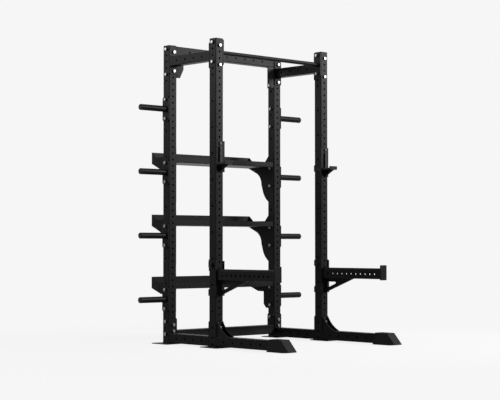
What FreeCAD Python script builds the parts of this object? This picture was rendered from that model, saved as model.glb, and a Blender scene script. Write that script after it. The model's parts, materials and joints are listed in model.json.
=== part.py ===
import FreeCAD, Part
import math
import os

# A half rack for strength training: four perforated square uprights, a bolted base with two
# front legs, crossmembers, a pull-up bar, plate storage pegs, three storage trays, a pair of
# bar cups and a pair of spotter arms.
# Sizes are in millimetres. X runs from side to side, the front faces -Y, Z is up.

# Uprights and their holes
rack_width = 1168.4
rack_depth = 558.8
upright_height = 2387.6
tube_size = 76.2
tube_wall = 3.0
tube_corner = 5.0
hole_pitch = 50.8
hole_diameter = 17.0
side_row_share = 0.5
split_share = 0.5
bare_front_rows = 2
bare_side_rows = 1
side_step_rows = 4
top_side_rows = 6
low_side_hole_shares = (0.5, 1.5, 3.0)
rear_low_hole_rows = 2
cap_thickness = 5.0
cap_bevel = 2.5
cap_plug_depth = 13.0
cap_clearance = 0.4

# Plates that close the ends of the bolted tubes
plate_thickness = 8.0
plate_edge = 25.4
plate_corner = 12.0
base_plate_edge = 50.8

# Bolts, nuts and washers
bolt_diameter = 15.8
bolt_head_across = 24.0
bolt_head_height = 10.0
head_bevel = 1.6
nut_height = 13.0
nut_clearance = 0.1
thread_end = 4.0
washer_diameter = 30.0
washer_thickness = 3.0

# Base
floor_plate_thickness = 6.35
floor_plate_outboard = 95.0
floor_plate_inboard = 50.0
floor_plate_outward = 108.0
floor_plate_inward = 82.0
base_tube_gap = 9.525
side_hole_pitch = 101.6
base_bolt_rows = (2, 3)
rear_base_gap = 31.75
rear_base_plate_bottom = 25.4
rear_base_bolt_rows = (1, 3)
front_leg_length = 717.5
leg_first_hole = 88.9

# Wedge foot on the end of each front leg
foot_wall = 6.0
foot_clearance = 0.4
foot_length = 232.6
foot_height = 95.0
foot_heel_lean = 28.0
foot_nose_slope = 80.0
foot_toe_height = 8.0
foot_toe_undercut = 58.0
foot_reach = 800.1

# Pair of gusset plates that stand on each front leg, against its end plate
gusset_thickness = 8.0
gusset_spread = 62.0
gusset_height = 112.8
gusset_top_reach = 4.0
gusset_reach = 124.5
gusset_toe_height = 4.0
gusset_arc_share = (0.45, 0.38)

# Upper crossmembers and pull-up bar
side_member_bolt_rows = (0, 3)
rear_member_bolt_rows = (0, 4)
rear_gusset_width = 72.5
rear_gusset_thickness = 6.35
rear_gusset_straight = 105.4
rear_gusset_foot = 35.6
pullup_bolt_rows = (0, 3)
pullup_diameter = 33.0
pullup_wall = 4.0

# Plate storage pegs
peg_diameter = 48.3
peg_wall = 3.5
peg_length = 252.0
peg_bolt_half_rows = 1.5
peg_plate_edge = 25.4
peg_plate_chamfer = 16.0
peg_cap_length = 9.0
peg_cap_round = 6.0
peg_plug_depth = 16.0
low_peg_rows = 7
high_peg_rows = 9
level_count = 4

# Storage trays and their end brackets
tray_depth = 305.0
tray_setback = 8.7
tray_sheet = 3.0
tray_bend = 5.0
tray_lip = 43.5
tray_back = 93.0
tray_over_bolt = 5.2
tray_relief = 25.0
bracket_thickness = 6.0
bracket_drop_share = 0.626
low_bracket_edge = 29.4
bracket_top_shares = ((0.0, 1.27), (0.13, 1.27), (0.192, 1.05), (0.331, 0.53), (0.823, 0.53), (0.98, 1.0))
bracket_curve_shares = ((0.656, 0.151), (0.525, 0.277), (0.475, 0.45), (0.403, 0.67), (0.321, 0.805))
bracket_foot_shares = ((0.193, 0.921), (0.115, 1.0))
low_bracket_shares = ((0.616, 0.24), (0.384, 0.25), (0.384, 0.82), (0.282, 1.0))

# Bar cups
cup_rows = 15
cup_plate_above = 18.6
cup_plate_below = 222.3
cup_gap = 0.5
cup_steel = 8.0
cup_peg_diameter = 15.8
cup_peg_clearance = 0.2
cup_peg_reach = 24.0
cup_peg_head_across = 24.0
cup_peg_head_height = 9.0
cup_seat_drop = 149.8
cup_depth = 108.0
cup_lip_height = 13.0
cup_liner = 8.0
cup_guard_thickness = 12.0
cup_guard_width = 22.0
cup_guard_top = 22.0
cup_rib_thickness = 10.0
cup_ear_height = 52.0
cup_ear_above_seat = 24.0
liner_bolt_diameter = 6.0
liner_bolt_head = 10.0
liner_bolt_head_height = 4.0
liner_bolt_inset = 26.0

# Spotter arms
arm_pin_rows = 12
arm_gap = 0.6
arm_steel = 8.0
arm_flange = 22.0
arm_ear_above = 31.0
arm_ear_below = 19.0
arm_spine_below = 35.0
arm_foot_below = 237.0
arm_foot_ear = 51.0
arm_tube_below = 41.3
arm_tube_width = 66.7
arm_length = 632.0
arm_first_hole = 61.0
arm_liner = 9.5
arm_stop_thickness = 9.5
arm_stop_above = 35.3
arm_stop_below = 8.5
arm_stop_side = 1.65
arm_rib_thickness = 10.0
arm_rib_reach = 322.0
arm_rib_foot = 4.0
arm_rib_band = 30.0
arm_rib_round = 8.0
pin_diameter = 15.8
pin_bore_clearance = 0.6
pin_tail = 12.0
pin_collar_diameter = 28.0
pin_collar_length = 9.0
pin_neck_diameter = 9.0
pin_neck_length = 12.0
pin_grip_diameter = 12.0
pin_grip_length = 90.0
pin_grip_round = 3.0

# One overrun for every cut
overrun = 5.0

# Values that follow from the sizes above
V = FreeCAD.Vector
half_tube = tube_size / 2
side_x = rack_width / 2
end_y = rack_depth / 2
outer_x = side_x + half_tube
inner_x = side_x - half_tube
front_face = -(end_y + half_tube)
front_inner = -(end_y - half_tube)
rear_inner = end_y - half_tube
rear_face = end_y + half_tube
split_height = upright_height * split_share
hole_radius = hole_diameter / 2
bolt_radius = bolt_diameter / 2
tray_front = rear_inner + tray_setback
tray_rear = tray_front + tray_depth
foot_tip = front_face - foot_reach
shift_y = -(foot_tip + tray_rear) / 2


def front_row(count):
    return hole_pitch * count


def front_row_down(count):
    return upright_height - hole_pitch * (count + 1)


def side_row(count):
    return hole_pitch * (count + side_row_share)


def side_row_down(count):
    return upright_height - hole_pitch * (count + side_row_share)


def place(axis, along, a, b):
    if axis == "x":
        return V(along, a, b)
    if axis == "y":
        return V(a, along, b)
    return V(a, b, along)


def box(x0, x1, y0, y1, z0, z1):
    low = V(min(x0, x1), min(y0, y1), min(z0, z1))
    return Part.makeBox(abs(x1 - x0), abs(y1 - y0), abs(z1 - z0), low)


def rod(axis, start, end, a, b, radius):
    low = min(start, end)
    direction = place(axis, 1, 0, 0)
    return Part.makeCylinder(radius, abs(end - start), place(axis, low, a, b), direction)


def outline(axis, along, edges):
    """Wire of straight lines and three-point arcs; an arc is written (middle, end)."""
    start = edges[0]
    here = start
    lines = []
    for step in edges[1:] + [start]:
        if len(step) == 2 and isinstance(step[0], tuple):
            middle, end = step
            lines.append(Part.Arc(place(axis, along, *here), place(axis, along, *middle),
                                  place(axis, along, *end)).toShape())
            here = end
        else:
            lines.append(Part.makeLine(place(axis, along, *here), place(axis, along, *step)))
            here = step
    return Part.Wire(lines)


def prism(axis, start, end, edges):
    face = Part.Face(outline(axis, start, edges))
    return face.extrude(place(axis, end - start, 0, 0))


def rounded(axis, start, end, a, b, wide, tall, radius):
    """Bar with rounded long edges, centred on a and b."""
    reach = radius * (1 - math.sqrt(2) / 2)
    x = wide / 2
    z = tall / 2
    edges = [(a - x + radius, b - z), (a + x - radius, b - z),
             ((a + x - reach, b - z + reach), (a + x, b - z + radius)), (a + x, b + z - radius),
             ((a + x - reach, b + z - reach), (a + x - radius, b + z)), (a - x + radius, b + z),
             ((a - x + reach, b + z - reach), (a - x, b + z - radius)), (a - x, b - z + radius)]
    lines = outline(axis, start, edges).Edges[:-1]
    corner = Part.Arc(place(axis, start, a - x, b - z + radius),
                      place(axis, start, a - x + reach, b - z + reach),
                      place(axis, start, a - x + radius, b - z)).toShape()
    face = Part.Face(Part.Wire(lines + [corner]))
    return face.extrude(place(axis, end - start, 0, 0))


def box_tube(axis, start, end, a, b, wide, tall):
    outside = rounded(axis, start, end, a, b, wide, tall, tube_corner)
    inside = rounded(axis, start, end, a, b, wide - 2 * tube_wall, tall - 2 * tube_wall, tube_corner - tube_wall)
    return outside.cut(inside)


def square_tube(axis, start, end, a, b):
    return box_tube(axis, start, end, a, b, tube_size, tube_size)


def hexagon(axis, start, end, a, b, across):
    radius = across / math.sqrt(3)
    points = []
    for corner in range(6):
        turn = math.radians(60 * corner)
        points.append((a + radius * math.cos(turn), b + radius * math.sin(turn)))
    return prism(axis, start, end, points)


def hex_head(axis, start, end, a, b, across):
    """Hexagon with its corners turned off at the end face."""
    way = 1 if end > start else -1
    corner = across / math.sqrt(3)
    turned = rod(axis, start, end - way * head_bevel, a, b, corner + head_bevel)
    tip = Part.makeCone(corner, corner - 2 * head_bevel, head_bevel, place(axis, end - way * head_bevel, a, b),
                        place(axis, way, 0, 0))
    return hexagon(axis, start, end, a, b, across).common(turned.fuse(tip))


def mirrored(shape):
    return shape.mirror(V(0, 0, 0), V(1, 0, 0))


def group(shapes):
    solids = []
    for shape in shapes:
        solids.extend(shape.Solids)
    return Part.makeCompound(solids)


def write(name, shape):
    shape = shape.copy()
    shape.translate(V(0, shift_y, 0))
    if not shape.isValid():
        print("not valid:", name)
    shape.exportStep("parts/" + name + ".step")
    print(name, len(shape.Solids), round(shape.Volume))


# Bolts: one solid each for the bolt, its nut and its two washers
bolts = {"frame": [], "storage": []}
nuts = {"frame": [], "storage": []}
washers = {"frame": [], "storage": []}


def add_bolt(kind, axis, head_face, nut_face, a, b):
    """Bolt along an axis from the face under its head to the face under its nut."""
    way = 1 if nut_face > head_face else -1
    head = head_face - way * washer_thickness
    nut = nut_face + way * washer_thickness
    far = nut + way * (nut_height + thread_end)
    cap = hex_head(axis, head, head - way * bolt_head_height, a, b, bolt_head_across)
    bolts[kind].append(cap.fuse(rod(axis, head, far, a, b, bolt_radius)))
    body = hex_head(axis, nut, nut + way * nut_height, a, b, bolt_head_across)
    bore = rod(axis, nut - way * overrun, far + way * overrun, a, b, bolt_radius + nut_clearance)
    nuts[kind].append(body.cut(bore))
    for face, out in ((head_face, -way), (nut_face, way)):
        ring = rod(axis, face, face + out * washer_thickness, a, b, washer_diameter / 2)
        hole = rod(axis, face - out * overrun, face + out * (washer_thickness + overrun), a, b, hole_radius)
        washers[kind].append(ring.cut(hole))


# Heights of the storage pegs, evenly spread between the lowest and the highest, and of the trays on them
level_spacing = (front_row_down(high_peg_rows) - front_row(low_peg_rows)) / (level_count - 1)
peg_heights = [front_row(low_peg_rows) + level_spacing * level for level in range(level_count)]
bracket_drop = level_spacing * bracket_drop_share
peg_bolt_offset = hole_pitch * peg_bolt_half_rows
low_bracket_drop = 2 * peg_bolt_offset + tray_over_bolt + low_bracket_edge
peg_bolt_heights = []
for height in peg_heights:
    peg_bolt_heights += [height - peg_bolt_offset, height + peg_bolt_offset]
tray_heights = [height + peg_bolt_offset + tray_over_bolt for height in peg_heights[:-1]]
arm_pin_z = side_row(arm_pin_rows)


# Uprights: the holes that hold something come first, and the open rows fill in between them
def open_rows(taken, up, down, bare, top, step):
    rows = list(taken)
    low = []
    count = bare
    while up(count) < split_height:
        low.append(up(count))
        count += step
    high = [down(count) for count in range(top)]
    count = top + step - 1
    while down(count) > split_height:
        high.append(down(count))
        count += step
    for height in low + high:
        if all(abs(height - other) > hole_diameter for other in rows):
            rows.append(height)
    return rows


def upright(y, front_taken, side_taken):
    tube = square_tube("z", floor_plate_thickness, upright_height, -side_x, y)
    near = half_tube + overrun
    front = open_rows(front_taken, front_row, front_row_down, bare_front_rows, 1, 1)
    side = open_rows(side_taken, side_row, side_row_down, bare_side_rows, top_side_rows, side_step_rows)
    drills = [rod("y", y - near, y + near, -side_x, z, hole_radius) for z in front]
    drills += [rod("x", -side_x - near, -side_x + near, y, z, hole_radius) for z in side]
    return tube.cut(drills)


base_bolts = [front_row(row) for row in base_bolt_rows]
member_bolts = [front_row_down(row) for row in side_member_bolt_rows]
rear_base_bolts = [side_row(row) for row in rear_base_bolt_rows]
rear_bolts = [side_row_down(row) for row in rear_member_bolt_rows]
pullup_heights = [side_row_down(row) for row in pullup_bolt_rows]
cup_z = front_row_down(cup_rows)
low_side_holes = [hole_pitch * share for share in low_side_hole_shares]
front_upright = upright(-end_y, base_bolts + member_bolts + [cup_z],
                        pullup_heights + [arm_pin_z] + low_side_holes)
rear_upright = upright(end_y, base_bolts + member_bolts,
                       peg_bolt_heights + rear_base_bolts + rear_bolts + [side_row(rear_low_hole_rows)])

plug = tube_size - 2 * (tube_wall + cap_clearance)
caps = []
for x in (-side_x, side_x):
    for y in (-end_y, end_y):
        top = rounded("z", upright_height, upright_height + cap_thickness, x, y, tube_size, tube_size, tube_corner)
        rim = [edge for edge in top.Edges if edge.BoundBox.ZMin > upright_height + cap_thickness / 2]
        top = top.makeChamfer(cap_bevel, rim)
        low = upright_height - cap_plug_depth
        caps.append(top.fuse(box(x - plug / 2 + tube_corner, x + plug / 2 - tube_corner,
                                 y - plug / 2, y + plug / 2, low, upright_height)))

floor_plates = []
for side in (-1, 1):
    for end in (-1, 1):
        x0 = side * (side_x - floor_plate_inboard)
        x1 = side * (side_x + floor_plate_outboard)
        y0 = end * (end_y - floor_plate_inward)
        y1 = end * (end_y + floor_plate_outward)
        floor_plates.append(box(x0, x1, y0, y1, 0, floor_plate_thickness))


# Tubes that lie front to rear between the uprights, with a plate welded on each end
def side_tube(centre_z, low, high, bolt_heights):
    start = front_inner + plate_thickness
    end = rear_inner - plate_thickness
    tube = square_tube("y", start, end, -side_x, centre_z)
    drills = []
    offset = side_hole_pitch / 2
    while offset < end - tube_size:
        for y in (-offset, offset):
            drills.append(rod("x", -outer_x - overrun, -inner_x + overrun, y, centre_z, hole_radius))
        offset += side_hole_pitch
    tube = tube.cut(drills)
    plates = []
    for y0, y1 in ((front_inner, start), (end, rear_inner)):
        plate = rounded("y", y0, y1, -side_x, (low + high) / 2, tube_size, high - low, plate_corner)
        plates.append(plate.cut([rod("y", y0 - overrun, y1 + overrun, -side_x, z, hole_radius)
                                 for z in bolt_heights]))
    return tube.fuse(plates)


base_tube_z = base_tube_gap + half_tube
base_plate_top = max(base_bolts) + base_plate_edge
base_side = side_tube(base_tube_z, base_tube_gap, base_plate_top, base_bolts)

member_low = min(member_bolts) - plate_edge
member_high = max(member_bolts) + plate_edge
side_member = side_tube((member_low + member_high) / 2, member_low, member_high, member_bolts)

# Front legs with their end plate, gussets and wedge feet
leg_end = front_face - front_leg_length
leg_start = front_face - plate_thickness
leg = square_tube("y", leg_end, leg_start, -side_x, base_tube_z)
foot_heel = foot_tip + foot_length
drills = []
hole_y = front_face - leg_first_hole
while hole_y > foot_heel + hole_diameter:
    drills.append(rod("x", -outer_x - overrun, -inner_x + overrun, hole_y, base_tube_z, hole_radius))
    hole_y -= side_hole_pitch
leg = leg.cut(drills)
leg_plate = rounded("y", leg_start, front_face, -side_x, (base_tube_gap + base_plate_top) / 2, tube_size,
                    base_plate_top - base_tube_gap, plate_corner)
leg_plate = leg_plate.cut([rod("y", leg_start - overrun, front_face + overrun, -side_x, z, hole_radius)
                           for z in base_bolts])
leg = leg.fuse(leg_plate)


def base_gusset(x0, x1):
    root = base_tube_gap + tube_size
    top = root + gusset_height
    toe = root + gusset_toe_height
    toe_y = leg_start - gusset_reach
    top_y = leg_start - gusset_top_reach
    middle = (top_y + (toe_y - top_y) * gusset_arc_share[0], toe + (top - toe) * gusset_arc_share[1])
    edges = [(leg_start, root), (leg_start, top), (top_y, top), (middle, (toe_y, toe)), (toe_y, root)]
    return prism("x", x0, x1, edges)


gusset_out = gusset_spread / 2
gusset_in = gusset_out - gusset_thickness
base_gussets = group([base_gusset(-side_x - gusset_out, -side_x - gusset_in),
                      base_gusset(-side_x + gusset_in, -side_x + gusset_out)])

foot_x0 = -outer_x - foot_wall
foot_x1 = -inner_x + foot_wall
foot = prism("x", foot_x0, foot_x1,
             [(foot_heel, 0), (foot_heel - foot_heel_lean, foot_height),
              (foot_tip + foot_nose_slope, foot_height), (foot_tip, foot_toe_height),
              (foot_tip + foot_toe_height, foot_toe_height / 2), (foot_tip + foot_toe_undercut, 0)])
foot_pocket_top = base_tube_gap + tube_size + foot_clearance
pocket = box(-outer_x - foot_clearance, -inner_x + foot_clearance, leg_end, foot_heel + overrun,
             base_tube_gap, foot_pocket_top)
foot = foot.cut(pocket)


# Tubes that lie side to side between the uprights
def end_plate(y, low, high, bolt_heights):
    plate = rounded("x", -inner_x, -inner_x + plate_thickness, y, (low + high) / 2, tube_size, high - low,
                    plate_corner)
    drills = [rod("x", -inner_x - overrun, -inner_x + plate_thickness + overrun, y, z, hole_radius)
              for z in bolt_heights]
    return plate.cut(drills)


cross_end = inner_x - plate_thickness
rear_base_top = max(rear_base_bolts) + plate_edge
rear_base_plate = end_plate(end_y, rear_base_plate_bottom, rear_base_top, rear_base_bolts)
base_rear = square_tube("x", -cross_end, cross_end, end_y, rear_base_gap + half_tube)
base_rear = base_rear.fuse([rear_base_plate, mirrored(rear_base_plate)])

rear_low = min(rear_bolts) - plate_edge
rear_member_z = upright_height - half_tube
rear_plate = end_plate(end_y, rear_low, upright_height, rear_bolts)
rear_member = square_tube("x", -cross_end, cross_end, end_y, rear_member_z)
drills = []
hole_x = 0
while hole_x < cross_end - tube_size:
    for x in {hole_x, -hole_x}:
        drills.append(rod("y", rear_inner - overrun, rear_face + overrun, x, rear_member_z, hole_radius))
    hole_x += side_hole_pitch
rear_member = rear_member.cut(drills)
rear_gusset_in = inner_x - rear_gusset_width
rear_gusset_top = upright_height - tube_size
rear_gusset = prism("y", rear_inner, rear_inner + rear_gusset_thickness,
                    [(-cross_end, rear_low), (-inner_x + rear_gusset_foot, rear_low),
                     (-rear_gusset_in, rear_gusset_top - rear_gusset_straight),
                     (-rear_gusset_in, rear_gusset_top), (-cross_end, rear_gusset_top)])
rear_member = rear_member.fuse([rear_plate, mirrored(rear_plate), rear_gusset, mirrored(rear_gusset)])

pullup_low = min(pullup_heights) - plate_edge
pullup_z = (pullup_low + upright_height) / 2
pullup_plate = end_plate(-end_y, pullup_low, upright_height, pullup_heights)
pullup = rod("x", -cross_end, cross_end, -end_y, pullup_z, pullup_diameter / 2)
pullup = pullup.cut(rod("x", -cross_end, cross_end, -end_y, pullup_z, pullup_diameter / 2 - pullup_wall))
pullup = pullup.fuse([pullup_plate, mirrored(pullup_plate)])

# Frame bolts
for x in (-side_x, side_x):
    for z in member_bolts:
        add_bolt("frame", "y", front_face, front_inner + plate_thickness, x, z)
        add_bolt("frame", "y", rear_inner - plate_thickness, rear_face, x, z)
    for z in base_bolts:
        add_bolt("frame", "y", leg_start, front_inner + plate_thickness, x, z)
        add_bolt("frame", "y", rear_inner - plate_thickness, rear_face, x, z)
for side in (-1, 1):
    for z in pullup_heights:
        add_bolt("frame", "x", side * outer_x, side * cross_end, -end_y, z)
    for z in rear_bolts + rear_base_bolts:
        add_bolt("frame", "x", side * outer_x, side * cross_end, end_y, z)


# Plate storage pegs on the outer faces of the rear uprights
def peg(height):
    high = height + peg_bolt_offset + peg_plate_edge
    low = height - peg_bolt_offset - peg_plate_edge
    cut = peg_plate_chamfer
    edges = [(rear_inner + cut, low), (rear_face - cut, low), (rear_face, low + cut), (rear_face, high - cut),
             (rear_face - cut, high), (rear_inner + cut, high), (rear_inner, high - cut), (rear_inner, low + cut)]
    root = -outer_x - plate_thickness
    plate = prism("x", root, -outer_x, edges)
    drills = [rod("x", root - overrun, -outer_x + overrun, end_y, height + turn * peg_bolt_offset, hole_radius)
              for turn in (-1, 1)]
    tube = rod("x", root - peg_length, root, end_y, height, peg_diameter / 2)
    tube = tube.cut(rod("x", root - peg_length, root, end_y, height, peg_diameter / 2 - peg_wall))
    return plate.cut(drills).fuse(tube)


def peg_cap(height):
    face = -outer_x - plate_thickness - peg_length
    head = rod("x", face - peg_cap_length, face, end_y, height, peg_diameter / 2)
    rim = [edge for edge in head.Edges if edge.BoundBox.XMax < face - peg_cap_length / 2]
    head = head.makeFillet(peg_cap_round, rim)
    stem = rod("x", face, face + peg_plug_depth, end_y, height, peg_diameter / 2 - peg_wall - cap_clearance)
    return head.fuse(stem)


pegs = [peg(height) for height in peg_heights]
peg_caps = [peg_cap(height) for height in peg_heights]
bracket_face = inner_x - bracket_thickness
for side in (-1, 1):
    for level, height in enumerate(peg_heights):
        inside = bracket_face if level < len(tray_heights) else inner_x
        for turn in (-1, 1):
            add_bolt("storage", "x", side * (outer_x + plate_thickness), side * inside, end_y,
                     height + turn * peg_bolt_offset)


# Storage trays: a bent sheet pan between two end brackets
def tray_pan(height):
    edges = [(tray_front, height), (tray_rear, height), (tray_rear, height + tray_back),
             (tray_rear - tray_sheet, height + tray_back), (tray_rear - tray_sheet, height + tray_sheet),
             (tray_front + tray_sheet, height + tray_sheet), (tray_front + tray_sheet, height + tray_lip),
             (tray_front, height + tray_lip)]
    pan = prism("x", -bracket_face, bracket_face, edges)
    bends = [edge for edge in pan.Edges if edge.Length > tray_depth and edge.BoundBox.ZMax < height + tray_sheet / 2]
    pan = pan.makeFillet(tray_bend, bends)
    relief = box(-bracket_face - overrun, -bracket_face + tray_relief, end_y - tray_relief, end_y + tray_relief,
                 height - overrun, height + tray_sheet + overrun)
    return pan.cut([relief, mirrored(relief)])


def bracket_point(share, height, reach):
    return (tray_front + tray_depth * share[0], height + reach * share[1])


def tray_bracket(height, lower):
    edges = [bracket_point(share, height, tray_back) for share in bracket_top_shares]
    edges += [(tray_rear, height + tray_back), (tray_rear, height)]
    if lower:
        edges += [bracket_point(share, height, -low_bracket_drop) for share in low_bracket_shares]
        edges.append((tray_front, height - low_bracket_drop))
    else:
        curve = [bracket_point(share, height, -bracket_drop) for share in bracket_curve_shares]
        foot_points = [bracket_point(share, height, -bracket_drop) for share in bracket_foot_shares]
        edges += [curve[0], (curve[1], curve[2]), curve[3], (curve[4], foot_points[0]), foot_points[1]]
        edges.append((tray_front, height - bracket_drop))
    plate = prism("x", -inner_x, -bracket_face, edges)
    drills = [rod("x", -inner_x - overrun, -bracket_face + overrun, end_y, z, hole_radius)
              for z in peg_bolt_heights]
    return plate.cut(drills)


trays = [tray_pan(height) for height in tray_heights]
brackets = [tray_bracket(height, level == 0) for level, height in enumerate(tray_heights)]

# Bar cups, drawn on the left front upright; the ear lies on the upright's inner face
cup_back = front_face - cup_gap
cup_face = cup_back - cup_steel
cup_inside = -inner_x + cup_gap
cup_ear_face = cup_inside + cup_steel
cup_seat = cup_z - cup_seat_drop
cup_shelf_top = cup_seat - cup_liner
cup_shelf_low = cup_shelf_top - cup_steel
cup_front = front_face - cup_depth
cup_low = cup_z - cup_plate_below
cup_top = cup_z + cup_plate_above
cup_lip_top = cup_seat + cup_lip_height
ear_high = cup_seat + cup_ear_above_seat
ear_low = ear_high - cup_ear_height

cup_frame = box(-outer_x, cup_ear_face, cup_face, cup_back, cup_low, cup_top)
cup_frame = cup_frame.fuse([
    box(cup_inside, cup_ear_face, cup_back, front_inner, ear_low, ear_high),
    box(-outer_x, -inner_x, cup_front, cup_face, cup_shelf_low, cup_shelf_top),
    box(-outer_x, -inner_x, cup_front, cup_front + cup_steel, cup_shelf_top, cup_lip_top),
    prism("x", -side_x - cup_rib_thickness / 2, -side_x + cup_rib_thickness / 2,
          [(cup_face, cup_low), (cup_face, cup_shelf_low), (cup_front, cup_shelf_low)])])
upper_bolt = cup_z - liner_bolt_inset * 2
lower_bolt = cup_seat + liner_bolt_inset * 2
liner_bolts = []
liner_drills = []
liner_face = cup_face - cup_guard_thickness
for z in (upper_bolt, lower_bolt):
    shank = rod("y", cup_back, liner_face, -side_x, z, liner_bolt_diameter / 2)
    head = rod("y", liner_face, liner_face - liner_bolt_head_height, -side_x, z, liner_bolt_head / 2)
    liner_bolts.append(shank.fuse(head))
    liner_drills.append(rod("y", cup_back + overrun, liner_face - overrun, -side_x, z,
                            liner_bolt_diameter / 2 + nut_clearance))
peg_drill = rod("y", cup_back + overrun, cup_face - overrun, -side_x, cup_z,
                (cup_peg_diameter + cup_peg_clearance) / 2)
cup_frame = cup_frame.cut(liner_drills + [peg_drill])

cup_pad = box(-outer_x, -inner_x, cup_front + cup_steel, cup_face, cup_shelf_top, cup_seat)
cup_pad = cup_pad.fuse([
    box(-outer_x, -inner_x, cup_front + cup_steel, cup_front + cup_steel + cup_liner, cup_seat, cup_lip_top),
    box(-side_x - cup_guard_width / 2, -side_x + cup_guard_width / 2, liner_face, cup_face, cup_seat,
        cup_z - cup_guard_top)])
cup_pad = cup_pad.cut(liner_drills)

cup_peg = rod("y", front_face + cup_peg_reach, cup_face, -side_x, cup_z, cup_peg_diameter / 2)
cup_peg = cup_peg.fuse(hex_head("y", cup_face, cup_face - cup_peg_head_height, -side_x, cup_z,
                                cup_peg_head_across))

# Spotter arms, drawn on the left front upright; they tip about the cross pin in the ears
arm_back = front_face - arm_gap
arm_face = arm_back - arm_steel
arm_x0 = -outer_x - arm_gap
arm_x1 = -inner_x + arm_gap
arm_top = arm_pin_z + arm_ear_above
arm_spine_top = arm_pin_z - arm_spine_below
arm_low = arm_pin_z - arm_foot_below
arm_tube_top = arm_pin_z - arm_tube_below
arm_tube_z = arm_tube_top - half_tube
arm_tube_low = arm_tube_top - tube_size
arm_end = arm_face - arm_length
flange_y = arm_face + arm_flange


def arm_flange_plate(x0, x1):
    edges = [(arm_face, arm_low), (front_inner, arm_low), (front_inner, arm_low + arm_foot_ear),
             (flange_y, arm_low + arm_foot_ear), (flange_y, arm_pin_z - arm_ear_below),
             (front_inner, arm_pin_z - arm_ear_below), (front_inner, arm_top), (arm_face, arm_top)]
    bore = rod("x", x0 - overrun, x1 + overrun, -end_y, arm_pin_z, pin_diameter / 2 + pin_bore_clearance)
    return prism("x", x0, x1, edges).cut(bore)


arm_bracket = box(arm_x0, arm_x1, arm_face, arm_back, arm_low, arm_spine_top)
arm_bracket = arm_bracket.fuse([arm_flange_plate(arm_x0 - arm_steel, arm_x0),
                                arm_flange_plate(arm_x1, arm_x1 + arm_steel)])

arm_tube = box_tube("y", arm_end, arm_face, -side_x, arm_tube_z, arm_tube_width, tube_size)
drills = []
hole_y = arm_face - arm_first_hole
while hole_y > arm_end + hole_diameter:
    drills.append(rod("x", -outer_x - overrun, -inner_x + overrun, hole_y, arm_tube_z, hole_radius))
    hole_y -= hole_pitch
arm_tube = arm_tube.cut(drills)

strip_half = arm_tube_width / 2 - tube_corner
arm_strip = box(-side_x - strip_half, -side_x + strip_half, arm_end, arm_face,
                arm_tube_top, arm_tube_top + arm_liner)
arm_stop = rounded("y", arm_end - arm_stop_thickness, arm_end, -side_x,
                   (arm_tube_top + arm_stop_above + arm_tube_low - arm_stop_below) / 2,
                   arm_tube_width + 2 * arm_stop_side, tube_size + arm_stop_above + arm_stop_below, tube_corner)

rib_tip = arm_face - arm_rib_reach
rib_foot_y = arm_face - arm_rib_foot
rib_drop = arm_tube_low - arm_low
rib_run = rib_foot_y - rib_tip
rib_slant = math.hypot(rib_run, rib_drop) / rib_run * arm_rib_band
rib = prism("x", -side_x - arm_rib_thickness / 2, -side_x + arm_rib_thickness / 2,
            [(arm_face, arm_tube_low), (rib_tip, arm_tube_low), (rib_foot_y, arm_low), (arm_face, arm_low)])
window_y = arm_face - arm_rib_band
window_tip = rib_tip + (rib_slant + arm_rib_band) * rib_run / rib_drop
window_low = arm_low + rib_slant + (rib_foot_y - window_y) * rib_drop / rib_run
window = prism("x", -side_x - arm_rib_thickness, -side_x + arm_rib_thickness,
               [(window_y, arm_tube_low - arm_rib_band), (window_tip, arm_tube_low - arm_rib_band),
                (window_y, window_low)])
corners = [edge for edge in window.Edges if edge.BoundBox.XLength > arm_rib_thickness]
window = window.makeFillet(arm_rib_round, corners)
rib = rib.cut(window)

# Cross pin with a grip, drawn out sideways from the outer face
pin_start = arm_x1 + arm_steel + pin_tail
pin_collar_face = arm_x0 - arm_steel - arm_gap
pin_outer = pin_collar_face - pin_collar_length
pin_grip_x = pin_outer - pin_neck_length
lock_pin = rod("x", pin_outer, pin_start, -end_y, arm_pin_z, pin_diameter / 2)
tip = [edge for edge in lock_pin.Edges if edge.BoundBox.XMin > pin_start - pin_grip_round]
lock_pin = lock_pin.makeChamfer(pin_grip_round, tip)
lock_pin = lock_pin.fuse(rod("x", pin_outer, pin_collar_face, -end_y, arm_pin_z, pin_collar_diameter / 2))
grip = rod("z", arm_pin_z - pin_grip_length / 2, arm_pin_z + pin_grip_length / 2, pin_grip_x, -end_y,
           pin_grip_diameter / 2)
grip_ends = [edge for edge in grip.Edges if edge.BoundBox.ZLength < pin_grip_round]
grip = grip.makeFillet(pin_grip_round, grip_ends)
neck = rod("x", pin_grip_x, pin_collar_face, -end_y, arm_pin_z, pin_neck_diameter / 2)
lock_pin = lock_pin.fuse(grip.fuse(neck))

# Write every node; left pieces are drawn, right pieces are their mirror images
os.makedirs("parts", exist_ok=True)
pairs = {
    "upright_front": front_upright,
    "upright_rear": rear_upright,
    "base_side_tube": base_side,
    "base_front_leg": leg,
    "base_gussets": base_gussets,
    "front_foot": foot,
    "side_crossmember": side_member,
    "bar_cup_frame": cup_frame,
    "bar_cup_liner": cup_pad,
    "bar_cup_peg": cup_peg,
    "bar_cup_liner_bolts": group(liner_bolts),
    "spotter_bracket": arm_bracket,
    "spotter_tube": arm_tube,
    "spotter_strip": arm_strip,
    "spotter_stop": arm_stop,
    "spotter_rib": rib,
    "spotter_pin": lock_pin,
}
for level, shape in enumerate(pegs):
    pairs["storage_peg_" + str(level + 1)] = shape
for name, shape in pairs.items():
    write(name + "_left", shape)
    write(name + "_right", mirrored(shape))

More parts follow.
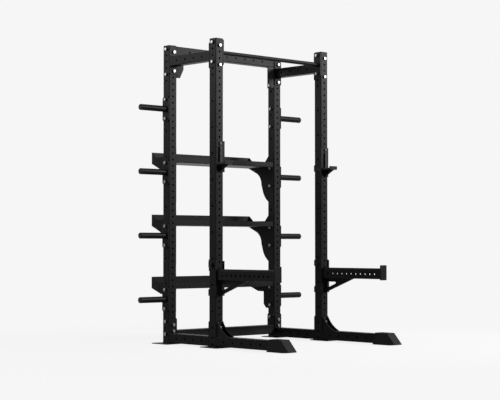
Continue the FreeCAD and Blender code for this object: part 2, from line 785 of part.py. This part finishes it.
write("upright_caps", group(caps))
write("floor_plates", group(floor_plates))
write("base_rear_crossmember", base_rear)
write("rear_crossmember", rear_member)
write("pullup_bar", pullup)
write("storage_peg_caps", group(peg_caps + [mirrored(shape) for shape in peg_caps]))
for name, pan, bracket in zip(("bottom", "middle", "top"), trays, brackets):
    write("tray_pan_" + name, pan)
    write("tray_brackets_" + name, group([bracket, mirrored(bracket)]))
for kind in ("frame", "storage"):
    write(kind + "_bolts", group(bolts[kind]))
    write(kind + "_nuts", group(nuts[kind]))
    write(kind + "_washers", group(washers[kind]))
print("shift in Y", shift_y, "front", foot_tip + shift_y, "rear", tray_rear + shift_y)
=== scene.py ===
import json
import math

import bpy
from mathutils import Euler, Matrix, Vector
from mathutils.bvhtree import BVHTree


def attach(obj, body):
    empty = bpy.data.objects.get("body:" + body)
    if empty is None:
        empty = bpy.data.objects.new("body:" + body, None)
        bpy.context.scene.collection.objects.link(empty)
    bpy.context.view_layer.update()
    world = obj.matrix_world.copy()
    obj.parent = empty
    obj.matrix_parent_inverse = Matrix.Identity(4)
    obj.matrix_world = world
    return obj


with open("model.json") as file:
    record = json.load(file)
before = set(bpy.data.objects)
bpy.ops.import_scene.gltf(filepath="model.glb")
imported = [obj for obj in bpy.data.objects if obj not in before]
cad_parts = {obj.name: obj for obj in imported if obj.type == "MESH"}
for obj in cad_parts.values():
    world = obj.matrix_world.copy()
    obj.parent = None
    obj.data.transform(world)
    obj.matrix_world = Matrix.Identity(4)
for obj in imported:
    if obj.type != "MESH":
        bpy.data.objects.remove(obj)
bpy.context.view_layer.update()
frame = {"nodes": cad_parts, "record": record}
nodes = frame["nodes"]

# Sizes below are in millimetres in the rack's own frame: X from side to side, the front faces -Y,
# and Y is 0 half way between the front and rear uprights. MIDDLE_Y is that place in the shared frame.
MM = 0.001
MIDDLE_Y = 281.3
SIDE_X = 584.2
END_Y = 279.4
HALF_TUBE = 38.1
OUTER_X = SIDE_X + HALF_TUBE
INNER_X = SIDE_X - HALF_TUBE
HALF_ARM = 33.35
PLATE = 8.0
HOLE_PITCH = 50.8
SIDES = (("left", -1), ("right", 1))


def at(x, y, z):
    """Point of the shared frame in metres, from the rack's own millimetres."""
    return Vector((x, y + MIDDLE_Y, z)) * MM


# Materials

# Sockets of a colour mix node, which have no names of their own
MIX_FIRST, MIX_SECOND, MIX_RESULT = 6, 7, 2


def linear(code):
    """sRGB hex colour as the linear RGBA that a shader takes."""
    channels = [int(code[i:i + 2], 16) / 255 for i in (1, 3, 5)]
    return [c / 12.92 if c <= 0.04045 else ((c + 0.055) / 1.055) ** 2.4 for c in channels] + [1.0]


def put(tree, kind, sockets=None, **settings):
    """Adds a node; a socket's value is a number, a colour or another node's output."""
    made = tree.nodes.new(kind)
    for key, value in settings.items():
        setattr(made, key, value)
    for key, value in (sockets or {}).items():
        if isinstance(value, bpy.types.NodeSocket):
            tree.links.new(value, made.inputs[key])
        else:
            made.inputs[key].default_value = value
    return made


def per_metre(size_mm):
    """A texture's scale from the size of one grain or spot in millimetres."""
    return 1 / (size_mm * MM)


def finish(name):
    """Starts a material: its tree, its surface shader and the place on the piece in metres."""
    material = bpy.data.materials.new(name)
    material.use_nodes = True
    tree = material.node_tree
    tree.nodes.clear()
    surface = put(tree, "ShaderNodeBsdfPrincipled")
    put(tree, "ShaderNodeOutputMaterial", {"Surface": surface.outputs["BSDF"]})
    place = put(tree, "ShaderNodeTexCoord").outputs["Object"]
    return material, tree, surface, place


def grain(tree, place, size_mm, detail, roughness=0.5):
    return put(tree, "ShaderNodeTexNoise", {"Vector": place, "Scale": per_metre(size_mm), "Detail": detail,
                                            "Roughness": roughness}).outputs["Fac"]


def spread(tree, value, low, high, out_low, out_high):
    return put(tree, "ShaderNodeMapRange", {"Value": value, "From Min": low, "From Max": high,
                                            "To Min": out_low, "To Max": out_high}).outputs["Result"]


def mix(tree, factor, first, second):
    return put(tree, "ShaderNodeMix", {"Factor": factor, MIX_FIRST: first, MIX_SECOND: second},
               data_type="RGBA").outputs[MIX_RESULT]


def roughen(tree, surface, texture, smooth, rough):
    """Lets the roughness follow a texture, whose values lie mostly between 0.3 and 0.7."""
    tree.links.new(spread(tree, texture, 0.3, 0.7, smooth, rough), surface.inputs["Roughness"])


def emboss(tree, surface, texture, height_mm, strength):
    bump = put(tree, "ShaderNodeBump", {"Height": texture, "Distance": height_mm * MM, "Strength": strength})
    tree.links.new(bump.outputs["Normal"], surface.inputs["Normal"])


def powder_coat(name, light, dark, grit_mm=3.0, height_mm=0.12):
    """Baked polyester powder, satin black: an even colour with a fine orange peel that breaks up the
    shine, and a little lighter where an edge is rubbed."""
    material, tree, surface, place = finish(name)
    # The real peel is about 1.5 mm; it is drawn twice as coarse so that it shows
    peel = grain(tree, place, grit_mm, detail=4.0, roughness=0.6)
    cloud = grain(tree, place, 140.0, detail=2.0)
    edge = put(tree, "ShaderNodeNewGeometry").outputs["Pointiness"]
    rubbed = spread(tree, edge, low=0.52, high=0.60, out_low=0.0, out_high=0.35)
    colour = mix(tree, cloud, linear(dark), linear(light))
    tree.links.new(mix(tree, rubbed, colour, linear("#3a3a3c")), surface.inputs["Base Color"])
    roughen(tree, surface, peel, smooth=0.34, rough=0.44)
    emboss(tree, surface, peel, height_mm, strength=0.5)
    surface.inputs["IOR"].default_value = 1.5
    surface.inputs["Specular IOR Level"].default_value = 0.05
    return material


def bare_steel(name):
    """Bare steel inside a tube, hardly reached by the powder, drawn dull and nearly black as painted shade so
    that the holes look deep."""
    material, tree, surface, place = finish(name)
    shade_mottle = grain(tree, place, 12.0, detail=3.0)
    # Both colours are nearly black, darker than the coat: painted shade inside the tube, mottled at random
    tree.links.new(mix(tree, shade_mottle, linear("#060606"), linear("#0c0c0c")), surface.inputs["Base Color"])
    surface.inputs["Roughness"].default_value = 0.95
    surface.inputs["Specular IOR Level"].default_value = 0.0
    return material


def zinc_plate(name):
    """Cold-forged steel, bright zinc plated: a blue-white metal with small drawing marks."""
    material, tree, surface, place = finish(name)
    spots = grain(tree, place, 4.0, detail=4.0)
    tree.links.new(mix(tree, spots, linear("#5f6165"), linear("#7d7f83")), surface.inputs["Base Color"])
    surface.inputs["Metallic"].default_value = 1.0
    roughen(tree, surface, spots, smooth=0.24, rough=0.36)
    emboss(tree, surface, spots, height_mm=0.05, strength=0.4)
    return material


def black_oxide(name):
    """Turned steel, chemically blackened: a dark metal with a soft, slightly uneven shine."""
    material, tree, surface, place = finish(name)
    stain = grain(tree, place, 5.0, detail=3.0)
    tree.links.new(mix(tree, stain, linear("#1c1d1f"), linear("#2b2c2f")), surface.inputs["Base Color"])
    surface.inputs["Metallic"].default_value = 0.8
    roughen(tree, surface, stain, smooth=0.3, rough=0.45)
    return material


def moulded(name, light, dark, rough, grit_mm, height_mm, shine=0.12):
    """Moulded rubber or plastic: dull, evenly coloured, with the fine spark-eroded grain of the mould."""
    material, tree, surface, place = finish(name)
    texture = grain(tree, place, grit_mm, detail=2.0)
    cloud = grain(tree, place, 60.0, detail=2.0)
    tree.links.new(mix(tree, cloud, linear(dark), linear(light)), surface.inputs["Base Color"])
    roughen(tree, surface, texture, rough - 0.06, rough + 0.06)
    emboss(tree, surface, texture, height_mm, strength=0.5)
    surface.inputs["Specular IOR Level"].default_value = shine
    return material


coat = powder_coat("polyester_powder_coat_black", "#131315", "#0e0e10")
sheet_coat = powder_coat("powder_coated_sheet_steel", "#141416", "#0f0f11", grit_mm=2.5, height_mm=0.08)
zinc = zinc_plate("zinc_plated_bolt_steel")
blackened = black_oxide("black_oxide_pin_steel")
foot_rubber = moulded("moulded_rubber_black", "#161618", "#101012", rough=0.72, grit_mm=1.5, height_mm=0.15)
cap_plastic = moulded("moulded_polyethylene_black", "#161618", "#111113", rough=0.52, grit_mm=1.2,
                      height_mm=0.08)
# Cut from sheet, whose skin has the same kind of fine grain
slide_plastic = moulded("machined_uhmw_black", "#18181a", "#121214", rough=0.42, grit_mm=2.0, height_mm=0.05)
# Inside the tubes: painted shade, nearly black, so that the holes look deep
tube_inside_shade = bare_steel("painted_shade_inside_tubes")
# Coat that a laser has burnt dull and darker
ink = moulded("laser_marked_coat", "#070708", "#050506", rough=0.8, grit_mm=1.0, height_mm=0.02, shine=0.02)

finish_of_slot = {
    "black_powder_coat": coat,
    "black_sheet_steel": sheet_coat,
    "zinc_plated_steel": zinc,
    "black_oxide_steel": blackened,
    "rubber_foot": foot_rubber,
    "plastic_cap": cap_plastic,
    "slide_plastic": slide_plastic,
}
slot_of_node = {row["node"]: row["material_slot"] for row in frame["record"]["subparts"]}

# Starts of the names of the pieces that have an inside
HOLLOW = ("upright_", "base_side_tube", "base_front_leg", "base_rear_crossmember", "side_crossmember",
          "rear_crossmember", "pullup_bar", "spotter_tube", "storage_peg_1", "storage_peg_2",
          "storage_peg_3", "storage_peg_4")
INSIDE_SLOT = 1
TOWARDS_CORNER = 0.8
LOOK_CLEAR = 0.05


def dull_inside(piece):
    """Gives the nearly black painted-shade material to the faces that look at another wall of their own tube.
    Each face looks from its middle and from near its corners."""
    piece.data.materials.append(tube_inside_shade)
    corners = [v.co for v in piece.data.vertices]
    walls = BVHTree.FromPolygons(corners, [p.vertices for p in piece.data.polygons])
    for wall in piece.data.polygons:
        looks = [wall.center] + [wall.center.lerp(corners[v], TOWARDS_CORNER) for v in wall.vertices]
        for look in looks:
            clear = look + wall.normal * LOOK_CLEAR * MM
            if walls.ray_cast(clear, wall.normal, 2 * HALF_TUBE * MM)[0] is not None:
                wall.material_index = INSIDE_SLOT
                break


# Every cut edge of the real pieces is broken by about a millimetre, and those of the bolts by half of it
EDGE_BREAK = 1.0
BOLT_EDGE_BREAK = 0.5
SAME_POINT = 0.01
FLAT_DEGREES = 0.5
EDGE_DEGREES = 40
EDGE_STEPS = 2

for name, piece in nodes.items():
    piece.data.materials.clear()
    piece.data.materials.append(finish_of_slot[slot_of_node[name]])
    if name.startswith(HOLLOW):
        # Faces inside the tubes get the nearly black painted shade
        dull_inside(piece)
    join = piece.modifiers.new("joined", "WELD")
    join.merge_threshold = SAME_POINT * MM
    flat = piece.modifiers.new("flat_faces", "DECIMATE")
    flat.decimate_type = "DISSOLVE"
    flat.angle_limit = math.radians(FLAT_DEGREES)
    flat.delimit = {"MATERIAL"}
    broken = piece.modifiers.new("broken_edges", "BEVEL")
    broken.width = (BOLT_EDGE_BREAK if slot_of_node[name] == "zinc_plated_steel" else EDGE_BREAK) * MM
    broken.segments = EDGE_STEPS
    broken.limit_method = "ANGLE"
    broken.angle_limit = math.radians(EDGE_DEGREES)
    broken.use_clamp_overlap = True
    broken.harden_normals = True
    even = piece.modifiers.new("even_faces", "WEIGHTED_NORMAL")
    even.keep_sharp = True


# Weld beads

# Outline of a fillet weld from the first wall to the second, in shares of its leg
BEAD_PROFILE = ((1.0, 0.0), (0.82, 0.34), (0.58, 0.58), (0.34, 0.82), (0.0, 1.0), (-0.1, -0.1))
BEAD_STEP = 1.5
FEWEST_STEPS = 4
STEPS_ROUND = 96
# Shares of the leg: the ripples, the slow wander of the hand, and what is left at a seam's ends
RIPPLE = 0.13
WANDER = 0.05
WANDER_PACE = 0.7
END_SHARE = 0.35


def mesh_piece(name, points, faces, material, body):
    mesh = bpy.data.meshes.new(name)
    mesh.from_pydata([tuple(p) for p in points], [], faces)
    mesh.materials.append(material)
    mesh.shade_smooth()
    piece = bpy.data.objects.new(name, mesh)
    bpy.context.scene.collection.objects.link(piece)
    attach(piece, body)
    return piece


def bead(path, closed, leg, points, faces):
    """Adds a fillet weld along path, whose rows are (corner point, direction on one wall, on the other)."""
    start = len(points)
    rings = len(path)
    for i, (corner, wall, other) in enumerate(path):
        share = 1 + RIPPLE * math.sin(i * math.pi / 2) + WANDER * math.sin(i * WANDER_PACE)
        if not closed and i in (0, rings - 1):
            share = END_SHARE
        for a, b in BEAD_PROFILE:
            points.append(corner + (wall * a + other * b) * (leg * MM * share))
    count = len(BEAD_PROFILE)
    for i in range(rings if closed else rings - 1):
        here = start + i * count
        there = start + ((i + 1) % rings) * count
        for k in range(count):
            n = (k + 1) % count
            faces.append((here + k, here + n, there + n, there + k))
    if not closed:
        faces.append(tuple(start + k for k in reversed(range(count))))
        last = start + (rings - 1) * count
        faces.append(tuple(last + k for k in range(count)))


def seam(first, last, wall, other, leg=5.0):
    """Straight seam between two points, in steps of 1.5 mm, with a ripple every four steps."""
    first, last = at(*first), at(*last)
    steps = max(FEWEST_STEPS, round((last - first).length / (BEAD_STEP * MM)))
    path = [(first.lerp(last, i / steps), Vector(wall), Vector(other)) for i in range(steps + 1)]
    return path, False, leg


def ring(centre, radius, axis_x, leg=4.5):
    """Seam round a bar that stands on a plate along X."""
    path = []
    for i in range(STEPS_ROUND):
        turn = 2 * math.pi * i / STEPS_ROUND
        out = Vector((0, math.cos(turn), math.sin(turn)))
        path.append((at(*centre) + out * radius * MM, out, Vector((axis_x, 0, 0))))
    return path, True, leg


def welded(name, body, seams):
    points, faces = [], []
    for path, closed, leg in seams:
        bead(path, closed, leg, points, faces)
    mesh_piece(name, points, faces, coat, body)


UP, DOWN = (0, 0, 1), (0, 0, -1)
BACK, FRONT = (0, 1, 0), (0, -1, 0)
LEFT, RIGHT = (-1, 0, 0), (1, 0, 0)


def both_faces(middle, half):
    """The two faces of an upright plate or pair of plates, each with the way that it looks."""
    return (middle - half, LEFT), (middle + half, RIGHT)


# Seams of the frame. Across a tube they stop 6 mm short of its edges.
ACROSS = 32
BASE_TOP = 85.725
SIDE_MEMBER_TOP = 2298.7
SIDE_MEMBER_UNDER = 2222.5
REAR_MEMBER_UNDER = 2311.4
REAR_BASE_TOP = 107.95
REAR_BASE_UNDER = 31.75
REAR_SEAM_Y = (246, 312)
REAR_MEMBER_SEAM_Y = (250, 312)
PULLUP_Z = 2286.0
PULLUP_RADIUS = 16.5
# Corner gussets of the upper rear crossmember
REAR_GUSSET_Y = 247.65
REAR_GUSSET_X = 475
REAR_GUSSET_Z = (2150, 2304)
# Pair of gussets on each front leg: half their spread, the toe, where the seam on the end plate starts
# above the leg and where it stops, and half the room between them
GUSSET_HALF = 31
GUSSET_TOE_Y = -447
GUSSET_FOOT = 3
GUSSET_TOP = 186
BETWEEN_GUSSETS = 22
FLOOR_PLATE = 6.35
LOWEST_PEG = 355.6
PEG_SPACING = 508
PEG_RADIUS = 24.15
PEGS = 4
# Stitches between the tray floors and their end brackets
TRAY_FLOORS = (437.0, 945.0, 1453.0)
TRAY_SHEET = 3
TRAY_SIDE_X = 540.1
STITCHES_Y = (330, 410, 490)
STITCH = 35

rack_seams = []
for side, sx in SIDES:
    middle = sx * SIDE_X
    x0, x1 = middle - ACROSS, middle + ACROSS
    inward, outward = (-sx, 0, 0), (sx, 0, 0)
    near, far = -(END_Y - HALF_TUBE - PLATE), END_Y - HALF_TUBE - PLATE
    leg_face = -(END_Y + HALF_TUBE + PLATE)
    rear_face = END_Y + HALF_TUBE
    for y, way in ((near, BACK), (far, FRONT)):
        rack_seams.append(seam((x0, y, BASE_TOP), (x1, y, BASE_TOP), UP, way))
    for y, way in ((near, BACK), (far, FRONT)):
        rack_seams.append(seam((x0, y, SIDE_MEMBER_TOP), (x1, y, SIDE_MEMBER_TOP), UP, way))
        rack_seams.append(seam((x0, y, SIDE_MEMBER_UNDER), (x1, y, SIDE_MEMBER_UNDER), DOWN, way))
    face = sx * (INNER_X - PLATE)
    for (y0, y1), z, way in ((REAR_MEMBER_SEAM_Y, REAR_MEMBER_UNDER, DOWN), (REAR_SEAM_Y, REAR_BASE_TOP, UP),
                             (REAR_SEAM_Y, REAR_BASE_UNDER, DOWN)):
        rack_seams.append(seam((face, y0, z), (face, y1, z), way, inward))
    rack_seams.append(ring((face, -END_Y, PULLUP_Z), PULLUP_RADIUS, -sx))
    # Rear crossmember gussets, along the tube and the end plate
    rack_seams.append(seam((face, REAR_GUSSET_Y, REAR_MEMBER_UNDER),
                           (sx * REAR_GUSSET_X, REAR_GUSSET_Y, REAR_MEMBER_UNDER), DOWN, BACK, leg=3.5))
    rack_seams.append(seam((face, REAR_GUSSET_Y, REAR_GUSSET_Z[0]), (face, REAR_GUSSET_Y, REAR_GUSSET_Z[1]),
                           inward, BACK, leg=3.5))
    # Gusset plates on the front leg and on its end plate, and the leg between them
    for x, way in both_faces(middle, GUSSET_HALF):
        rack_seams.append(seam((x, leg_face, BASE_TOP), (x, GUSSET_TOE_Y, BASE_TOP), way, UP, leg=2.2))
        rack_seams.append(seam((x, leg_face, BASE_TOP + GUSSET_FOOT), (x, leg_face, GUSSET_TOP),
                               way, FRONT, leg=4.0))
    rack_seams.append(seam((middle - BETWEEN_GUSSETS, leg_face, BASE_TOP),
                           (middle + BETWEEN_GUSSETS, leg_face, BASE_TOP), UP, FRONT))
    # Rear upright on its floor plate
    rack_seams.append(seam((sx * OUTER_X, REAR_SEAM_Y[0], FLOOR_PLATE),
                           (sx * OUTER_X, REAR_SEAM_Y[1], FLOOR_PLATE), outward, UP))
    rack_seams.append(seam((x0, rear_face, FLOOR_PLATE), (x1, rear_face, FLOOR_PLATE), BACK, UP))
    for level in range(PEGS):
        z = LOWEST_PEG + PEG_SPACING * level
        rack_seams.append(ring((sx * (OUTER_X + PLATE), END_Y, z), PEG_RADIUS, sx))
    for tray_floor in TRAY_FLOORS:
        z = tray_floor + TRAY_SHEET
        for y in STITCHES_Y:
            rack_seams.append(seam((sx * TRAY_SIDE_X, y, z), (sx * TRAY_SIDE_X, y + STITCH, z),
                                   inward, UP, leg=3.5))
welded("frame_welds", "rack", rack_seams)

# Seams of the spotter arms: at both ends of the tube, and along the rib under it
SPINE_Y = -326.1
ARM_END_Y = -958.1
ARM_UNDER = 517.5
ARM_ACROSS = 28
BESIDE_ARM_RIB = 9
ARM_SIDE_SEAM = (7, 69)
HALF_RIB = 5
ARM_RIB_Y = (-335, -640)
ARM_RIB_FOOT = 402
ARM_RIB_ROOT = 8
# Seams of the bar cups: the rib on the back plate, and the shelf on both
CUP_PLATE_Y = -326.0
CUP_RIB_Z = (1358, 1402)
CUP_SHELF_UNDER = 1409
CUP_SHELF_START = 6
CUP_SHELF_Y = -418
CUP_ACROSS = 35
BESIDE_CUP_RIB = 10

for side, sx in SIDES:
    middle = sx * SIDE_X
    inward, outward = (-sx, 0, 0), (sx, 0, 0)
    arm_seams = []
    for x0, x1 in ((-ARM_ACROSS, -BESIDE_ARM_RIB), (BESIDE_ARM_RIB, ARM_ACROSS)):
        arm_seams.append(seam((middle + x0, SPINE_Y, ARM_UNDER), (middle + x1, SPINE_Y, ARM_UNDER),
                              DOWN, FRONT))
    arm_seams.append(seam((middle - ARM_ACROSS, ARM_END_Y, ARM_UNDER),
                          (middle + ARM_ACROSS, ARM_END_Y, ARM_UNDER), DOWN, BACK, leg=2.8))
    for x, way in ((sx * (SIDE_X + HALF_ARM), outward), (sx * (SIDE_X - HALF_ARM), inward)):
        arm_seams.append(seam((x, ARM_END_Y, ARM_UNDER + ARM_SIDE_SEAM[0]),
                              (x, ARM_END_Y, ARM_UNDER + ARM_SIDE_SEAM[1]), way, BACK, leg=1.6))
    for x, way in both_faces(middle, HALF_RIB):
        arm_seams.append(seam((x, ARM_RIB_Y[0], ARM_UNDER), (x, ARM_RIB_Y[1], ARM_UNDER), way, DOWN, leg=4.0))
        arm_seams.append(seam((x, SPINE_Y, ARM_RIB_FOOT), (x, SPINE_Y, ARM_UNDER - ARM_RIB_ROOT),
                              way, FRONT, leg=4.0))
    welded("spotter_welds_" + side, "spotter_arm_" + side, arm_seams)

    cup_seams = []
    for x, way in both_faces(middle, HALF_RIB):
        cup_seams.append(seam((x, CUP_PLATE_Y, CUP_RIB_Z[0]), (x, CUP_PLATE_Y, CUP_RIB_Z[1]),
                              way, FRONT, leg=3.5))
        cup_seams.append(seam((x, CUP_PLATE_Y - CUP_SHELF_START, CUP_SHELF_UNDER),
                              (x, CUP_SHELF_Y, CUP_SHELF_UNDER), way, DOWN, leg=3.5))
    for x0, x1 in ((-CUP_ACROSS, -BESIDE_CUP_RIB), (BESIDE_CUP_RIB, CUP_ACROSS)):
        cup_seams.append(seam((middle + x0, CUP_PLATE_Y, CUP_SHELF_UNDER),
                              (middle + x1, CUP_PLATE_Y, CUP_SHELF_UNDER), DOWN, FRONT, leg=4.0))
    welded("bar_cup_welds_" + side, "bar_cup_" + side, cup_seams)

# Hole numbers: plain figures marked on the coat beside every second gap between the front holes, below
# and above the bar cup
FIGURE_HEIGHT = 12.0
FIGURE_STROKE = 0.5
FIGURE_ASIDE = 21.0
FIGURE_LIFT = 0.15
FIGURE_CURVE_STEPS = 3
# A figure's height as a share of the font's size
FIGURE_SHARE = 0.7
NUMBERED_ROWS = (13, 15, 17, 19, 21, 23, 25, 29, 31, 33, 35)


def hole_numbers(name, x, face, rows):
    points, faces = [], []
    for row, z in rows:
        text = bpy.data.curves.new("figure", "FONT")
        text.body = str(row)
        text.size = FIGURE_HEIGHT / FIGURE_SHARE * MM
        text.align_x = "CENTER"
        text.align_y = "CENTER"
        text.resolution_u = FIGURE_CURVE_STEPS
        text.offset = FIGURE_STROKE / 2 * MM
        text.extrude = FIGURE_LIFT * MM / 2
        holder = bpy.data.objects.new("figure", text)
        bpy.context.scene.collection.objects.link(holder)
        bpy.context.view_layer.update()
        mesh = bpy.data.meshes.new_from_object(holder.evaluated_get(bpy.context.evaluated_depsgraph_get()))
        turn = Matrix.Translation(at(x, face - FIGURE_LIFT / 2, z)) @ Matrix.Rotation(math.pi / 2, 4, "X")
        start = len(points)
        points += [turn @ v.co for v in mesh.vertices]
        faces += [tuple(start + i for i in p.vertices) for p in mesh.polygons]
        bpy.data.objects.remove(holder)
        bpy.data.meshes.remove(mesh)
        bpy.data.curves.remove(text)
    mesh_piece(name, points, faces, ink, "rack").data.shade_flat()


marks = [(row, HOLE_PITCH * row + HOLE_PITCH / 2) for row in NUMBERED_ROWS]
for side, sx in SIDES:
    hole_numbers("hole_numbers_" + side, sx * SIDE_X - FIGURE_ASIDE, -(END_Y + HALF_TUBE), marks)


# Studio, in metres: pale floor and background, a broad light overhead, a key light from the front right
# and a weaker one from the left rear
BACKGROUND = linear("#f6f6f6")
FLOOR_GLOW = 0.915
FLOOR_HALF = 4.0
FLOOR_BELOW = 0.0005
FLOOR_FADE = (1.6, 3.6)


def seen_directly(tree):
    """1 for what the camera sees, directly or in a reflection, and 0 for light that falls on surfaces."""
    path = put(tree, "ShaderNodeLightPath")
    both = put(tree, "ShaderNodeMath", {0: path.outputs["Is Camera Ray"], 1: path.outputs["Is Glossy Ray"]},
               operation="MAXIMUM")
    return put(tree, "ShaderNodeMath", {0: both.outputs[0], 1: path.outputs["Is Transmission Ray"]},
               operation="MAXIMUM").outputs[0]


world = bpy.data.worlds.new("studio")
bpy.context.scene.world = world
world.use_nodes = True
sky = world.node_tree
sky.nodes.clear()
fill = put(sky, "ShaderNodeBackground", {"Color": linear("#c8c8ca"), "Strength": 0.45})
pale = put(sky, "ShaderNodeBackground", {"Color": BACKGROUND, "Strength": 1.0})
chosen = put(sky, "ShaderNodeMixShader", {0: seen_directly(sky), 1: fill.outputs[0], 2: pale.outputs[0]})
put(sky, "ShaderNodeOutputWorld", {"Surface": chosen.outputs[0]})

# The floor shows the background's colour to the camera and takes shadows, and fades out around the rack
floor_finish = bpy.data.materials.new("painted_studio_floor")
floor_finish.use_nodes = True
ground = floor_finish.node_tree
ground.nodes.clear()
matt = put(ground, "ShaderNodeBsdfDiffuse", {"Color": linear("#4b4b4c")})
glow = put(ground, "ShaderNodeEmission", {"Color": BACKGROUND, "Strength": FLOOR_GLOW})
none = put(ground, "ShaderNodeEmission", {"Strength": 0.0})
lit = put(ground, "ShaderNodeMixShader", {0: seen_directly(ground), 1: none.outputs[0], 2: glow.outputs[0]})
floor_mix = put(ground, "ShaderNodeAddShader", {0: matt.outputs[0], 1: lit.outputs[0]})
spot = put(ground, "ShaderNodeTexCoord").outputs["Object"]
away = put(ground, "ShaderNodeVectorMath", {0: spot}, operation="LENGTH").outputs["Value"]
fade = put(ground, "ShaderNodeMapRange",
           {"Value": away, "From Min": FLOOR_FADE[0], "From Max": FLOOR_FADE[1]},
           interpolation_type="SMOOTHSTEP").outputs["Result"]
clear = put(ground, "ShaderNodeBsdfTransparent")
blended = put(ground, "ShaderNodeMixShader", {0: fade, 1: floor_mix.outputs[0], 2: clear.outputs[0]})
put(ground, "ShaderNodeOutputMaterial", {"Surface": blended.outputs[0]})
floor_mesh = bpy.data.meshes.new("studio_floor")
floor_mesh.from_pydata([(-FLOOR_HALF, -FLOOR_HALF, 0), (FLOOR_HALF, -FLOOR_HALF, 0),
                        (FLOOR_HALF, FLOOR_HALF, 0), (-FLOOR_HALF, FLOOR_HALF, 0)], [], [(0, 1, 2, 3)])
floor_mesh.materials.append(floor_finish)
floor = bpy.data.objects.new("studio_floor", floor_mesh)
floor.location = (0, 0, -FLOOR_BELOW)
bpy.context.scene.collection.objects.link(floor)


def softbox(name, place, aim, width, watts):
    """Square area light at a place, turned towards the point that it is aimed at."""
    lamp = bpy.data.lights.new(name, "AREA")
    lamp.shape = "RECTANGLE"
    lamp.size = width
    lamp.size_y = width
    lamp.energy = watts
    holder = bpy.data.objects.new(name, lamp)
    holder.location = place
    holder.rotation_euler = (Vector(aim) - Vector(place)).to_track_quat("-Z", "Y").to_euler()
    bpy.context.scene.collection.objects.link(holder)


softbox("key_light", place=(4.5, -4.6, 3.75), aim=(0, 0, 1.4), width=2.6, watts=600)
softbox("side_light", place=(-4.2, 4.6, 4.0), aim=(0, 0, 1.9), width=2.4, watts=135)
softbox("top_light", place=(0.3, -0.6, 5.2), aim=(0, 0, 0), width=4.0, watts=110)

# Camera, at the photograph's place, 11.6 m away and 0.8 m above the floor, looking slightly up
SENSOR_WIDTH = 36.0
LENS = 101.96
CAMERA_PLACE = (-7881.6, -8452.6, 797.4)
CAMERA_TILT = 91.779
CAMERA_TURN = -43.13

lens = bpy.data.cameras.new("camera")
lens.sensor_width = SENSOR_WIDTH
lens.lens = LENS
camera = bpy.data.objects.new("camera", lens)
camera.location = at(*CAMERA_PLACE)
camera.rotation_euler = Euler((math.radians(CAMERA_TILT), 0, math.radians(CAMERA_TURN)))
bpy.context.scene.collection.objects.link(camera)
bpy.context.scene.camera = camera
bpy.context.scene.view_settings.view_transform = "Standard"
